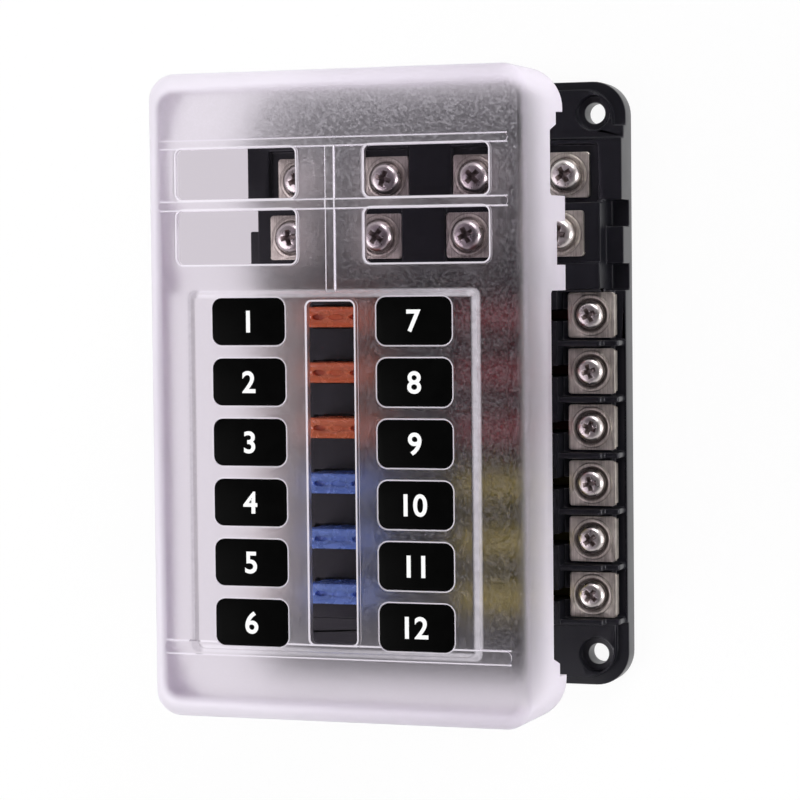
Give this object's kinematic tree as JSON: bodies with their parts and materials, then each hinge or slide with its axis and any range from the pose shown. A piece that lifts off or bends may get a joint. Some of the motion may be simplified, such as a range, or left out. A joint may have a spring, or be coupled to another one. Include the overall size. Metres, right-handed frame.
{
  "type": "blade fuse block",
  "caption": "Black fuse block with two columns of coloured blade fuses, screw terminals and bus rows, and a frosted cover with numbered labels lifted off in front.",
  "frame": {"origin": "centre of the base's back, the face that lies on the mounting panel", "axes": "X across the width, Y along the length with the bus rows at +Y, Z away from the panel"},
  "size_m": [0.0998, 0.1518, 0.0856],
  "materials": {
    "base_plastic": "fine satin moulding, black",
    "cover_plastic": "frosted clear moulding with polished windows",
    "label_black": "smooth black label with white figures",
    "nickel_brass": "nickel plated",
    "nickel_steel": "nickel plated",
    "screw_steel": "bright nickel",
    "zinc": "tinned zinc",
    "fuse_orange": "clear tinted",
    "fuse_blue": "clear tinted",
    "fuse_red": "clear tinted",
    "fuse_yellow": "clear tinted"
  },
  "bodies": {
    "base": {"base_housing": "base_plastic", "positive_bus": "nickel_brass", "negative_bus": "nickel_brass", "bus_pads": "nickel_steel", "circuit_screws": "screw_steel", "bus_screws": "screw_steel", "output_terminal_01": "nickel_brass", "output_terminal_02": "nickel_brass", "output_terminal_03": "nickel_brass", "output_terminal_04": "nickel_brass", "output_terminal_05": "nickel_brass", "output_terminal_06": "nickel_brass", "output_terminal_07": "nickel_brass", "output_terminal_08": "nickel_brass", "output_terminal_09": "nickel_brass", "output_terminal_10": "nickel_brass", "output_terminal_11": "nickel_brass", "output_terminal_12": "nickel_brass"},
    "cover": {"cover": "cover_plastic", "label_01": "label_black", "label_02": "label_black", "label_03": "label_black", "label_04": "label_black", "label_05": "label_black", "label_06": "label_black", "label_07": "label_black", "label_08": "label_black", "label_09": "label_black", "label_10": "label_black", "label_11": "label_black", "label_12": "label_black"},
    "fuse_01": {"fuse_01": "fuse_orange", "fuse_01_link": "zinc"},
    "fuse_02": {"fuse_02": "fuse_orange", "fuse_02_link": "zinc"},
    "fuse_03": {"fuse_03": "fuse_orange", "fuse_03_link": "zinc"},
    "fuse_04": {"fuse_04": "fuse_blue", "fuse_04_link": "zinc"},
    "fuse_05": {"fuse_05": "fuse_blue", "fuse_05_link": "zinc"},
    "fuse_06": {"fuse_06": "fuse_blue", "fuse_06_link": "zinc"},
    "fuse_07": {"fuse_07": "fuse_red", "fuse_07_link": "zinc"},
    "fuse_08": {"fuse_08": "fuse_red", "fuse_08_link": "zinc"},
    "fuse_09": {"fuse_09": "fuse_red", "fuse_09_link": "zinc"},
    "fuse_10": {"fuse_10": "fuse_yellow", "fuse_10_link": "zinc"},
    "fuse_11": {"fuse_11": "fuse_yellow", "fuse_11_link": "zinc"},
    "fuse_12": {"fuse_12": "fuse_yellow", "fuse_12_link": "zinc"}
  },
  "joints": [
    {"name": "cover_lift", "type": "slide", "parent": "base", "child": "cover", "axis": [0, 0, 1], "range_m": [-0.0563, 0.012]},
    {"name": "fuse_01_pull", "type": "slide", "parent": "base", "child": "fuse_01", "axis": [0, 0, 1], "range_m": [0, 0.014]},
    {"name": "fuse_02_pull", "type": "slide", "parent": "base", "child": "fuse_02", "axis": [0, 0, 1], "range_m": [0, 0.014]},
    {"name": "fuse_03_pull", "type": "slide", "parent": "base", "child": "fuse_03", "axis": [0, 0, 1], "range_m": [0, 0.014]},
    {"name": "fuse_04_pull", "type": "slide", "parent": "base", "child": "fuse_04", "axis": [0, 0, 1], "range_m": [0, 0.014]},
    {"name": "fuse_05_pull", "type": "slide", "parent": "base", "child": "fuse_05", "axis": [0, 0, 1], "range_m": [0, 0.014]},
    {"name": "fuse_06_pull", "type": "slide", "parent": "base", "child": "fuse_06", "axis": [0, 0, 1], "range_m": [0, 0.014]},
    {"name": "fuse_07_pull", "type": "slide", "parent": "base", "child": "fuse_07", "axis": [0, 0, 1], "range_m": [0, 0.014]},
    {"name": "fuse_08_pull", "type": "slide", "parent": "base", "child": "fuse_08", "axis": [0, 0, 1], "range_m": [0, 0.014]},
    {"name": "fuse_09_pull", "type": "slide", "parent": "base", "child": "fuse_09", "axis": [0, 0, 1], "range_m": [0, 0.014]},
    {"name": "fuse_10_pull", "type": "slide", "parent": "base", "child": "fuse_10", "axis": [0, 0, 1], "range_m": [0, 0.014]},
    {"name": "fuse_11_pull", "type": "slide", "parent": "base", "child": "fuse_11", "axis": [0, 0, 1], "range_m": [0, 0.014]},
    {"name": "fuse_12_pull", "type": "slide", "parent": "base", "child": "fuse_12", "axis": [0, 0, 1], "range_m": [0, 0.014]}
  ]
}
